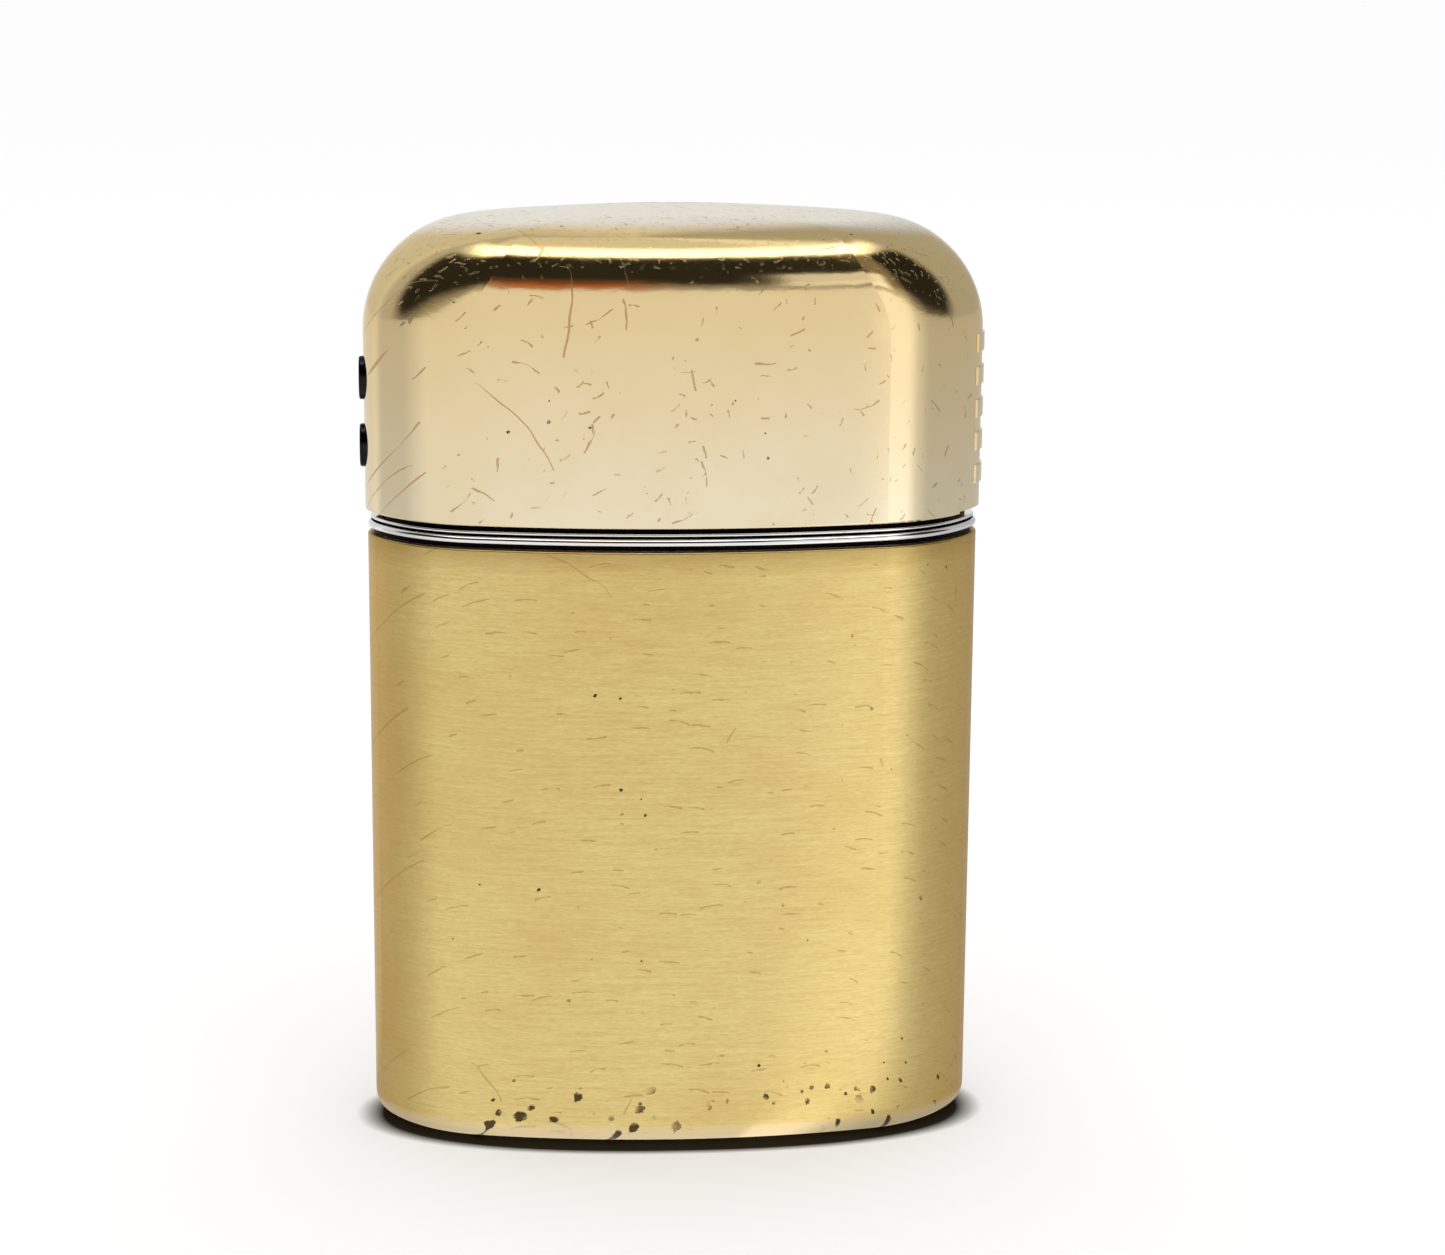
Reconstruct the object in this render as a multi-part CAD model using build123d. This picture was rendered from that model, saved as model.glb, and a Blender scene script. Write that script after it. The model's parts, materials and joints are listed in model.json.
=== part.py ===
"""Flip-top windproof pocket lighter, modelled as an assembly of separate pieces.

A brushed brass jacket holds a lift-out inner unit: a plated tank with its packing, wick, flint
gear and windshield. A plated double-bead collar on the tank rests on the jacket's rim. The
polished brass lid swings to the left on a gooseneck arm, pivoted in a well inside the tank.

Frame: millimetres, +Z up, X along the width, Y along the depth with the front at -Y.
The origin is the centre of the flat base.
"""

import os
from math import acos, atan2, cos, degrees, pi, sin, sqrt

from build123d import *

# ---------------------------------------------------------------- driving dimensions
# Oval plan of the jacket. Every other shell is a parallel offset of it.
body_width = 38.0
body_depth = 14.8
face_radius = 58.0  # the broad faces, gently bowed
shoulder_radius = 9.0  # between a face and an end
nose_radius = 3.5  # the two ends

# Jacket
jacket_height = 38.15
jacket_wall = 0.6
jacket_base_radius = 1.6
jacket_rim_radius = 0.12

# Tank, the can of the inner unit
tank_gap = 0.12  # sliding gap to the jacket, all round
tank_wall = 0.45
tank_base_gap = 0.1  # above the top of the jacket's inner bottom radius
tank_edge_radius = 0.8
deck_above_seam = 1.4

# Collar round the tank, resting over the jacket's rim
collar_seat_gap = 0.05
groove_height = 0.25
groove_depth = 0.35
main_bead_height = 0.5
main_bead_inset = 0.02
main_bead_radius = 0.24
bead_spacing = 0.12
thin_bead_height = 0.2
thin_bead_inset = 0.17
thin_bead_radius = 0.09

# Lid
seam_gap = 0.33  # from the collar's top to the lid's lower edge
lid_height = 18.5
lid_wall = 0.6
lid_proud = 0.15  # outside of the lid beyond the outside of the jacket
lid_crown_radius = 200.0  # top, seen from the front
lid_flat_half = 6.0  # level middle of the crown
lid_corner_radius = 7.0  # top corners, seen from the front
lid_face_radius = 4.3  # top edges along the broad faces
lid_edge_radius = 0.15
corner_steps = 10
crown_steps = 5

# Thumb ribs and nail relief on the lid's right end
rib_count = 5
rib_pitch = 2.05
rib_height = 1.15
rib_proud = 0.12
rib_span = 4.0
rib_first_above_seam = 2.3
rib_edge_radius = 0.06
nail_relief_height = 0.2
nail_relief_reach = 1.6  # in from the lid's right end

# Gooseneck hinge on the lid's left end
pivot_inset = 3.0  # from the outside of the jacket's left end
pivot_below_seam = 3.9
lid_opening = 100.0  # degrees
pin_radius = 0.6
pin_clearance = 0.05
hub_radius = 1.25
hub_flat = 1.0  # from the pivot to the two flats that the spring holds
arm_width = 2.6
arm_thickness = 0.9
arm_post_clearance = 0.13  # between the hook and the collar it passes over
leaf_wall_gap = 0.02
leaf_thickness = 0.6
leaf_above_seam = 0.6
leaf_height = 9.4
rivet_heights = (3.95, 8.15)  # above the lid's lower edge
rivet_shank_radius = 0.6
rivet_hole_clearance = 0.02
rivet_head_height = 2.7
rivet_head_width = 1.7
rivet_head_proud = 0.27
rivet_head_edge = 0.14
rivet_tail_radius = 1.0
rivet_tail_height = 0.35

# Hinge well, soldered under the deck round the arm
well_gap = 0.15  # beside the arm
well_wall = 0.35
well_end_gap = 0.4  # beyond the arm's reach
well_depth = 1.9  # from the pivot down to the floor
slot_end_gap = 0.3
cam_spring_gap = 0.02
cam_spring_thickness = 0.3
cam_spring_width = 2.4
cam_spring_foot = 2.4
cam_spring_rivet_radius = 0.5
cam_spring_rivet_head = 0.8
cam_spring_rivet_head_height = 0.25

# Windshield
shield_left = -9.0
shield_right = 5.2
shield_width = 8.0
shield_wall = 0.5
shield_height = 12.6
shield_corner_radius = 2.2
cheek_radius = 2.5
cheek_rise = 7.6  # of the cheeks' shoulder above the deck
vent_radius = 0.85
vent_pitch = 2.9
vent_row_pitch = 2.7
vent_rows = (4, 3, 4)
vent_first_row = 4.2  # above the deck
vent_column_x = -1.1

# Spark wheel
wheel_x = 9.6
wheel_radius = 3.2
wheel_width = 3.4
wheel_teeth = 48
wheel_tooth_depth = 0.2
thumb_rim_radius = 3.5
thumb_rim_width = 1.1
thumb_rim_gap = 0.05
thumb_teeth = 24
thumb_tooth_depth = 0.32
wheel_hub_radius = 1.3
wheel_hub_width = 6.4
axle_radius = 0.8
axle_clearance = 0.05
axle_head_radius = 1.25
axle_head_height = 0.35

# Flint gear
flint_radius = 1.25
flint_length = 5.0
flint_wheel_gap = 0.03
flint_above_tube = 0.5
tube_bore_radius = 1.4
tube_wall = 0.5
tube_above_deck = 0.5
tip_radius = 1.15
tip_height = 1.0
tip_stem_radius = 0.7
tip_stem_length = 1.6
coil_radius = 0.98
coil_wire_radius = 0.17
coil_pitch = 1.5
screw_shank_radius = 1.3
screw_shank_length = 6.0
screw_thread_pitch = 0.75
screw_thread_depth = 0.15
screw_head_radius = 2.6
screw_head_height = 0.7
screw_seat_gap = 0.05
screw_slot_width = 0.6
screw_slot_depth = 0.35
screw_knurls = 36
screw_knurl_depth = 0.14

# Wick, packing and felt
wick_radius = 1.4
wick_x = -2.0
wick_above_deck = 6.0
wick_above_felt = 3.0
wick_edge_radius = 0.4
ferrule_wall = 0.5
ferrule_flange_radius = 2.5
ferrule_flange_height = 0.4
ferrule_above_deck = 0.7
ferrule_below_deck = 1.6
felt_base_gap = 0.2  # up from the tank's lower edge
felt_thickness = 2.5
felt_screw_gap = 0.3
packing_layers = 4
packing_top_gap = 0.8  # below the hinge well
packing_edge_radius = 0.8

# ---------------------------------------------------------------- sizes worked out from those
half_width = body_width / 2
half_depth = body_depth / 2
tank_offset = -(jacket_wall + tank_gap)
tank_inner_offset = tank_offset - tank_wall
lid_inner_offset = lid_proud - lid_wall
leaf_offset = lid_inner_offset - leaf_wall_gap
leaf_inner_x = leaf_thickness - half_width - leaf_offset

main_bead_z = jacket_height + collar_seat_gap + groove_height
main_bead_top_z = main_bead_z + main_bead_height
thin_bead_z = main_bead_top_z + bead_spacing
collar_top_z = thin_bead_z + thin_bead_height
seam_z = collar_top_z + seam_gap
lid_top_z = seam_z + lid_height
deck_z = seam_z + deck_above_seam
deck_under_z = deck_z - tank_wall
tank_base_z = jacket_base_radius + tank_base_gap

pivot_x = pivot_inset - half_width
pivot_z = seam_z - pivot_below_seam
# The collar's outer corners are the farthest points inside the hook's sweep.
post_reach = max(
    sqrt((pivot_inset - thin_bead_inset) ** 2 + (collar_top_z - pivot_z) ** 2),
    sqrt((pivot_inset - main_bead_inset) ** 2 + (main_bead_top_z - pivot_z) ** 2),
)
hook_inner_radius = post_reach + arm_post_clearance
hook_outer_radius = hook_inner_radius + arm_thickness
well_half = arm_width / 2 + well_gap
well_end_x = pivot_x + hook_outer_radius + well_end_gap
well_floor_z = pivot_z - well_depth
slot_end_x = pivot_x + sqrt(hook_outer_radius**2 - (deck_under_z - pivot_z) ** 2) + slot_end_gap
cam_spring_rivet_x = well_end_x - cam_spring_foot / 2

shield_half = shield_width / 2
tube_radius = tube_bore_radius + tube_wall
flint_top_z = deck_z + tube_above_deck + flint_above_tube
flint_base_z = flint_top_z - flint_length
wheel_z = flint_top_z + flint_wheel_gap + wheel_radius
thumb_rim_centre_y = (wheel_width + thumb_rim_width) / 2 + thumb_rim_gap
tip_base_z = flint_base_z - tip_height

felt_base_z = tank_base_z + felt_base_gap
felt_top_z = felt_base_z + felt_thickness
tube_base_z = felt_base_z + screw_head_height + screw_seat_gap
screw_top_z = felt_base_z + screw_head_height + screw_shank_length
packing_top_z = well_floor_z - well_wall - packing_top_gap
wick_base_z = felt_top_z + wick_above_felt
wick_top_z = deck_z + wick_above_deck


# ---------------------------------------------------------------- shared shapes
def oval(wide, deep, nose, shoulder, face):
    """An oval face at Z=0 from tangent arcs: two ends, four shoulders and two broad faces."""
    face_y = deep - face
    nose_x = wide - nose
    apart = sqrt(nose_x**2 + face_y**2)
    along = ((face - shoulder) ** 2 - (shoulder - nose) ** 2 + apart**2) / (2 * apart)
    heading = atan2(-face_y, nose_x) + acos(along / (face - shoulder))
    centre_x = (face - shoulder) * cos(heading)
    centre_y = face_y + (face - shoulder) * sin(heading)
    face_turn = degrees(heading)
    nose_turn = degrees(atan2(-centre_y, nose_x - centre_x))
    right = CenterArc((nose_x, 0), nose, -nose_turn, 2 * nose_turn)
    right_back = CenterArc((centre_x, centre_y), shoulder, nose_turn, face_turn - nose_turn)
    back = CenterArc((0, face_y), face, face_turn, 180 - 2 * face_turn)
    left_back = CenterArc((-centre_x, centre_y), shoulder, 180 - face_turn, face_turn - nose_turn)
    half = [right, right_back, back, left_back]
    return make_face(half + [Rotation(0, 0, 180) * edge for edge in half])


def plan(offset):
    """The oval plan, moved outwards by offset."""
    return oval(
        half_width + offset,
        half_depth + offset,
        nose_radius + offset,
        shoulder_radius + offset,
        face_radius + offset,
    )


def plan_bar(offset, low, high):
    """A solid of the oval plan between two heights."""
    return Pos(0, 0, low) * extrude(plan(offset), high - low)


def block(x_span, y_span, z_span):
    """A box given by its lowest and highest value along each axis."""
    return Pos(x_span[0], y_span[0], z_span[0]) * Box(
        x_span[1] - x_span[0],
        y_span[1] - y_span[0],
        z_span[1] - z_span[0],
        align=(Align.MIN, Align.MIN, Align.MIN),
    )


def rod(radius, low, high, x=0.0):
    """An upright cylinder on the plane of symmetry."""
    base = (Align.CENTER, Align.CENTER, Align.MIN)
    return Pos(x, 0, low) * Cylinder(radius, high - low, align=base)


def side_rod(radius, left, right, z, seam=30):
    """A cylinder along X on the plane of symmetry, with its seam turned off that plane."""
    base = (Align.CENTER, Align.CENTER, Align.MIN)
    cylinder = Rotation(0, 0, seam) * Cylinder(radius, right - left, align=base)
    return Pos(left, 0, z) * Rotation(0, 90, 0) * cylinder


def cross_rod(radius, width, x, z, y=0.0):
    """A cylinder along Y, centred at depth y."""
    return Pos(x, y, z) * Rotation(90, 0, 0) * Cylinder(radius, width)


def cross_plate(profile, width):
    """A profile drawn in X and Z, thickened evenly either side of the plane of symmetry."""
    return extrude(Rotation(90, 0, 0) * profile, width / 2, both=True)


def toothed_disc(radius, depth, teeth, width):
    """A disc about Y with pointed teeth round its edge."""
    points = []
    for step in range(2 * teeth):
        reach = radius - depth * (step % 2)
        points.append((reach * cos(pi * step / teeth), reach * sin(pi * step / teeth)))
    return cross_plate(make_face(Polyline(*points, close=True)), width)


def level_edges(solid, height):
    """The edges that lie wholly at one height."""
    level = []
    for edge in solid.edges():
        box = edge.bounding_box()
        if abs(box.min.Z - height) < 0.01 and abs(box.max.Z - height) < 0.01:
            level.append(edge)
    return level


# ---------------------------------------------------------------- jacket
def jacket_sleeve():
    """Drawn brass sleeve with a closed, flat bottom."""
    outside = plan_bar(0, 0, jacket_height)
    outside = fillet(level_edges(outside, 0), jacket_base_radius)
    outside = fillet(level_edges(outside, jacket_height), jacket_rim_radius)
    inside = plan_bar(-jacket_wall, jacket_wall, jacket_height + 1)
    inside = fillet(level_edges(inside, jacket_wall), jacket_base_radius - jacket_wall)
    return outside - inside


# ---------------------------------------------------------------- lid and its arm
def lid_form(inset, low):
    """The lid's outer form, or a parallel form inside it, down to height low."""
    offset = lid_proud - inset
    wide = half_width + offset
    deep = half_depth + offset
    corner = lid_corner_radius - inset
    face_edge = lid_face_radius - inset
    crown = lid_crown_radius - inset
    crown_z = lid_top_z - sqrt(lid_crown_radius**2 - lid_flat_half**2)
    corner_z = crown_z + sqrt((crown - corner) ** 2 - (wide - corner) ** 2)
    contact = atan2(corner_z - crown_z, wide - corner)
    top_turn = acos(lid_flat_half / crown)

    profile = []
    for step in range(corner_steps + 1):
        turn = contact * step / corner_steps
        profile.append((wide - corner + corner * cos(turn), corner_z + corner * sin(turn)))
    for step in range(1, crown_steps + 1):
        turn = contact + (top_turn - contact) * step / crown_steps
        profile.append((crown * cos(turn), crown_z + crown * sin(turn)))

    sections = []
    for reach, z in profile:
        drop = crown_z + crown - z
        deep_here = deep - face_edge + sqrt(face_edge**2 - max(0.0, face_edge - drop) ** 2)
        share = deep_here / deep
        section = oval(
            reach,
            deep_here,
            (nose_radius + offset) * share,
            (shoulder_radius + offset) * share,
            face_radius + offset,
        )
        sections.append(Pos(0, 0, z) * section)
    return plan_bar(offset, low, corner_z) + loft(sections)


def thumb_rib(index):
    """One flat rib round the lid's right end, as a bar through the whole end."""
    low = seam_z + rib_first_above_seam + index * rib_pitch - rib_height / 2
    rib = plan_bar(lid_proud + rib_proud, low, low + rib_height)
    rib = fillet(level_edges(rib, low) + level_edges(rib, low + rib_height), rib_edge_radius)
    span = (-rib_span / 2, rib_span / 2)
    return rib & block((half_width - nose_radius, body_width), span, (0, lid_top_z))


def lid_shell():
    """Polished brass shell with its thumb ribs, nail relief and rivet holes."""
    shell = lid_form(0, seam_z)
    shell = fillet(level_edges(shell, seam_z), lid_edge_radius)
    for index in range(rib_count):
        shell += thumb_rib(index)
    shell -= lid_form(lid_wall, seam_z - 1)
    end_x = half_width + lid_proud
    shell -= block(
        (end_x - nail_relief_reach, end_x + 1),
        (-body_depth, body_depth),
        (seam_z - 1, seam_z + nail_relief_height),
    )
    for height in rivet_heights:
        hole_radius = rivet_shank_radius + rivet_hole_clearance
        shell -= side_rod(hole_radius, -body_width, pivot_x, seam_z + height)
    return shell


def hinge_arm():
    """Gooseneck arm: cam hub, link, hook over the rim, and the leaf riveted inside the lid."""
    below_hub = Pos(0, -hub_flat) * Rectangle(4, 4, align=(Align.CENTER, Align.MAX))
    hub = Circle(hub_radius) - below_hub - Rotation(0, 0, -lid_opening) * below_hub
    link_reach = (hook_inner_radius + hook_outer_radius) / 2
    link = Rectangle(link_reach, arm_thickness, align=(Align.MIN, Align.CENTER))
    under_link = Pos(0, -arm_thickness / 2) * Rectangle(
        3 * hook_outer_radius, 2 * hook_outer_radius, align=(Align.CENTER, Align.MAX)
    )
    hook = Circle(hook_outer_radius) - Circle(hook_inner_radius) - under_link
    hole = Circle(pin_radius + pin_clearance)
    arm = Pos(pivot_x, 0, pivot_z) * cross_plate(hub + link + hook - hole, arm_width)
    arm &= plan_bar(leaf_offset - leaf_thickness / 4, 0, lid_top_z)

    low = seam_z + leaf_above_seam
    half = arm_width / 2
    leaf = block((-body_width, leaf_inner_x), (-half, half), (low, low + leaf_height))
    leaf &= plan_bar(leaf_offset, 0, lid_top_z)
    leaf -= [
        side_rod(rivet_shank_radius, -body_width, pivot_x, seam_z + height, seam=45)
        for height in rivet_heights
    ]
    return arm + leaf


def hinge_rivet(height):
    """Steel rivet with an upright oval head that follows the lid's end."""
    z = seam_z + height
    end_x = -(half_width + lid_proud + rivet_head_proud)
    oval_head = Rotation(0, 90, 0) * Ellipse(rivet_head_height / 2, rivet_head_width / 2)
    head = Pos(end_x, 0, z) * extrude(oval_head, pivot_inset, dir=(1, 0, 0))
    head = fillet(head.edges().sort_by(Axis.X)[0], rivet_head_edge)
    head -= plan_bar(lid_proud, 0, lid_top_z)
    tail_x = leaf_inner_x + rivet_tail_height
    tail = side_rod(rivet_tail_radius, leaf_inner_x, tail_x, z)
    inside = plan_bar(lid_proud, 0, lid_top_z)
    shank = side_rod(rivet_shank_radius, end_x, tail_x, z) & inside
    return head + shank + tail


# ---------------------------------------------------------------- inner unit, fixed pieces
def tank_shell():
    """Plated can, open below, with its deck cut for the arm, the wick and the flint tube."""
    outside = plan_bar(tank_offset, tank_base_z, deck_z)
    outside = fillet(level_edges(outside, deck_z), tank_edge_radius)
    shell = outside - plan_bar(tank_inner_offset, tank_base_z - 1, deck_under_z)
    shell -= block(
        (-body_width, slot_end_x), (-well_half, well_half), (collar_top_z, deck_z + 1)
    )
    shell -= rod(tube_radius, deck_under_z - 1, deck_z + 1, wheel_x)
    shell -= rod(wick_radius + ferrule_wall, deck_under_z - 1, deck_z + 1, wick_x)
    return shell


def collar_ring():
    """Plated ring with a rounded bead and a thin bead above it."""
    base_z = jacket_height + collar_seat_gap
    ring = plan_bar(-groove_depth, base_z, collar_top_z)
    main = plan_bar(-main_bead_inset, main_bead_z, main_bead_top_z)
    edges = level_edges(main, main_bead_z) + level_edges(main, main_bead_top_z)
    ring += fillet(edges, main_bead_radius)
    thin = plan_bar(-thin_bead_inset, thin_bead_z, collar_top_z)
    edges = level_edges(thin, thin_bead_z) + level_edges(thin, collar_top_z)
    ring += fillet(edges, thin_bead_radius)
    return ring - plan_bar(tank_offset, base_z - 1, collar_top_z + 1)


def hinge_well():
    """Open-topped well under the deck that carries the hinge pin."""
    outer_half = well_half + well_wall
    well = block(
        (-half_width, well_end_x + well_wall),
        (-outer_half, outer_half),
        (well_floor_z - well_wall, deck_under_z),
    )
    well &= plan_bar(tank_inner_offset, 0, deck_z)
    well -= block((-body_width, well_end_x), (-well_half, well_half), (well_floor_z, deck_z))
    well -= cross_rod(pin_radius, body_depth, pivot_x, pivot_z)
    return well - rod(
        cam_spring_rivet_radius, well_floor_z - 1, well_floor_z + 1, cam_spring_rivet_x
    )


def hinge_pin():
    """Steel pin across the well."""
    return cross_rod(pin_radius, 2 * (well_half + well_wall), pivot_x, pivot_z)


def cam_spring():
    """Leaf spring that bears on the hub's flats when the lid is shut or open."""
    top = pivot_z - hub_flat - cam_spring_gap
    thick = cam_spring_thickness
    left = pivot_x - hub_radius
    bend = pivot_x + hub_radius
    foot = well_end_x - cam_spring_foot
    outline = Polyline(
        (left, top),
        (bend, top),
        (foot, well_floor_z + thick),
        (well_end_x, well_floor_z + thick),
        (well_end_x, well_floor_z),
        (foot, well_floor_z),
        (bend, top - thick),
        (left, top - thick),
        close=True,
    )
    spring = cross_plate(make_face(outline), cam_spring_width)
    return spring - rod(
        cam_spring_rivet_radius, well_floor_z - 1, well_floor_z + 1, cam_spring_rivet_x
    )


def cam_spring_rivet():
    """Rivet that holds the leaf spring to the well's floor."""
    top = well_floor_z + cam_spring_thickness
    under = well_floor_z - well_wall
    reach = cam_spring_rivet_head_height
    rivet = rod(cam_spring_rivet_radius, under, top, cam_spring_rivet_x)
    rivet += rod(cam_spring_rivet_head, top, top + reach, cam_spring_rivet_x)
    return rivet + rod(cam_spring_rivet_head, under - reach, under, cam_spring_rivet_x)


def windshield():
    """Perforated chimney, closed at the left, with cheeks on the right that hold the wheel."""
    top_z = deck_z + shield_height
    right = wheel_x + cheek_radius
    length = right - shield_left
    outer = Rectangle(length, shield_width, align=(Align.MIN, Align.CENTER))
    outer = fillet(outer.vertices().group_by(Axis.X)[0], shield_half - 0.01)
    inner = Pos(shield_wall) * Rectangle(
        length, shield_width - 2 * shield_wall, align=(Align.MIN, Align.CENTER)
    )
    inner = fillet(inner.vertices().group_by(Axis.X)[0], shield_half - shield_wall - 0.01)
    sheet = Pos(shield_left, 0, deck_z) * extrude(outer - inner, shield_height)

    chimney = Pos(shield_left, deck_z) * Rectangle(
        shield_right - shield_left, shield_height, align=(Align.MIN, Align.MIN)
    )
    top_right = chimney.vertices().sort_by(Axis.X)[-2:].sort_by(Axis.Y)[-1]
    chimney = fillet(top_right, shield_corner_radius)
    lobe = Pos(wheel_x, wheel_z) * Circle(cheek_radius)
    foot = make_face(
        Polyline(
            (shield_left, deck_z),
            (right, deck_z),
            (right, wheel_z),
            (wheel_x, wheel_z + cheek_radius),
            (shield_right, deck_z + cheek_rise),
            (shield_left, deck_z + cheek_rise),
            close=True,
        )
    )
    side = chimney + foot + lobe
    shield = sheet & cross_plate(side, 2 * shield_width)
    for row, count in enumerate(vent_rows):
        z = deck_z + vent_first_row + row * vent_row_pitch
        for column in range(count):
            x = vent_column_x + (column - (count - 1) / 2) * vent_pitch
            shield -= cross_rod(vent_radius, 2 * shield_width, x, z)
    return shield - cross_rod(axle_radius, 2 * shield_width, wheel_x, wheel_z)


def wheel_axle():
    """Axle through both cheeks, with a low head at each end."""
    axle = cross_rod(axle_radius, shield_width, wheel_x, wheel_z)
    for side in (-1, 1):
        y = side * (shield_half + axle_head_height / 2)
        axle += cross_rod(axle_head_radius, axle_head_height, wheel_x, wheel_z, y)
    return axle


def wick():
    """Braided wick, from the packing to its tip in the chimney."""
    cord = rod(wick_radius, wick_base_z, wick_top_z, wick_x)
    return fillet(level_edges(cord, wick_top_z), wick_edge_radius)


def wick_ferrule():
    """Flanged tube that guides the wick through the deck."""
    ferrule = rod(
        wick_radius + ferrule_wall,
        deck_under_z - ferrule_below_deck,
        deck_z + ferrule_above_deck,
        wick_x,
    )
    ferrule += rod(ferrule_flange_radius, deck_z, deck_z + ferrule_flange_height, wick_x)
    return ferrule - rod(wick_radius, 0, lid_top_z, wick_x)


def flint_tube():
    """Brass tube from the deck to the flint screw."""
    tube = rod(tube_radius, tube_base_z, deck_z + tube_above_deck, wheel_x)
    return tube - rod(tube_bore_radius, 0, lid_top_z, wheel_x)


def packing_layer(index):
    """One layer of the packing, pierced for the wick and the flint tube."""
    thickness = (packing_top_z - felt_top_z) / packing_layers
    low = felt_top_z + index * thickness
    layer = plan_bar(tank_inner_offset, low, low + thickness)
    edges = level_edges(layer, low) + level_edges(layer, low + thickness)
    layer = fillet(edges, packing_edge_radius)
    layer -= rod(tube_radius, 0, lid_top_z, wheel_x)
    return layer - rod(wick_radius, wick_base_z, lid_top_z, wick_x)


def felt_pad():
    """Felt pad that closes the tank, holed for the flint screw."""
    pad = plan_bar(tank_inner_offset, felt_base_z, felt_top_z)
    return pad - rod(screw_head_radius + felt_screw_gap, 0, felt_top_z + 1, wheel_x)


# ---------------------------------------------------------------- spark wheel and flint gear
def striker_wheel():
    """File-toothed wheel with its hub."""
    wheel = toothed_disc(wheel_radius, wheel_tooth_depth, wheel_teeth, wheel_width)
    wheel += cross_rod(wheel_hub_radius, wheel_hub_width, 0, 0)
    wheel -= cross_rod(axle_radius + axle_clearance, 2 * wheel_hub_width, 0, 0)
    return Pos(wheel_x, 0, wheel_z) * wheel


def thumb_rim(side):
    """Coarse-toothed rim beside the wheel, front for side -1 and back for side 1."""
    rim = toothed_disc(thumb_rim_radius, thumb_tooth_depth, thumb_teeth, thumb_rim_width)
    rim -= cross_rod(wheel_hub_radius, 2 * thumb_rim_width, 0, 0)
    return Pos(wheel_x, side * thumb_rim_centre_y, wheel_z) * rim


def flint():
    """Flint, worn hollow where the wheel bears on it."""
    stone = rod(flint_radius, flint_base_z, wheel_z, wheel_x)
    return stone - cross_rod(wheel_radius + flint_wheel_gap, body_depth, wheel_x, wheel_z)


def spring_tip():
    """Plunger between the flint and its spring."""
    tip = rod(tip_radius, tip_base_z, flint_base_z, wheel_x)
    return tip + rod(tip_stem_radius, tip_base_z - tip_stem_length, tip_base_z, wheel_x)


def flint_spring():
    """Coil spring between the plunger and the flint screw."""
    low = screw_top_z + coil_wire_radius
    high = tip_base_z - coil_wire_radius
    turns = round((high - low) / coil_pitch)
    path = Helix((high - low) / turns, high - low, coil_radius)
    profile = Plane(origin=path @ 0, z_dir=path % 0) * Circle(coil_wire_radius)
    return Pos(wheel_x, 0, low) * sweep(profile, path=path, is_frenet=True)


def flint_screw():
    """Knurled, slotted screw that closes the flint tube."""
    head_top = felt_base_z + screw_head_height
    head = toothed_disc(screw_head_radius, screw_knurl_depth, screw_knurls, screw_head_height)
    head = Pos(wheel_x, 0, felt_base_z + screw_head_height / 2) * Rotation(90, 0, 0) * head
    screw = head + rod(screw_shank_radius, head_top, screw_top_z, wheel_x)
    threads = int((screw_shank_length - 1) / screw_thread_pitch)
    for index in range(threads):
        low = head_top + 1 + index * screw_thread_pitch
        high = low + screw_thread_pitch / 2
        ring = rod(screw_shank_radius + 1, low, high, wheel_x)
        screw -= ring - rod(screw_shank_radius - screw_thread_depth, low, high, wheel_x)
    half_slot = screw_slot_width / 2
    return screw - block(
        (wheel_x - half_slot, wheel_x + half_slot),
        (-body_depth, body_depth),
        (felt_base_z - 1, felt_base_z + screw_slot_depth),
    )


# ---------------------------------------------------------------- export
nodes = {
    "jacket_sleeve": jacket_sleeve(),
    "tank_shell": tank_shell(),
    "collar_ring": collar_ring(),
    "hinge_well": hinge_well(),
    "hinge_pin": hinge_pin(),
    "cam_spring": cam_spring(),
    "cam_spring_rivet": cam_spring_rivet(),
    "windshield": windshield(),
    "wheel_axle": wheel_axle(),
    "wick": wick(),
    "wick_ferrule": wick_ferrule(),
    "flint_tube": flint_tube(),
    "felt_pad": felt_pad(),
    "flint_spring": flint_spring(),
    "lid_shell": lid_shell(),
    "hinge_arm": hinge_arm(),
    "hinge_rivet_lower": hinge_rivet(rivet_heights[0]),
    "hinge_rivet_upper": hinge_rivet(rivet_heights[1]),
    "striker_wheel": striker_wheel(),
    "thumb_rim_front": thumb_rim(-1),
    "thumb_rim_back": thumb_rim(1),
    "flint": flint(),
    "spring_tip": spring_tip(),
    "flint_screw": flint_screw(),
}
for index in range(packing_layers):
    nodes[f"packing_{index + 1}"] = packing_layer(index)

os.makedirs("parts", exist_ok=True)
for name, shape in nodes.items():
    export_step(shape, f"parts/{name}.step")
    print(f"{name}: {shape.volume:.2f} mm3, {len(shape.solids())} solid, valid {shape.is_valid}")
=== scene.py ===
"""Flip-top windproof pocket lighter: its looks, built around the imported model."""

import json
from math import cos, degrees, pi, sin

import bpy
from mathutils import Matrix, Vector


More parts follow.
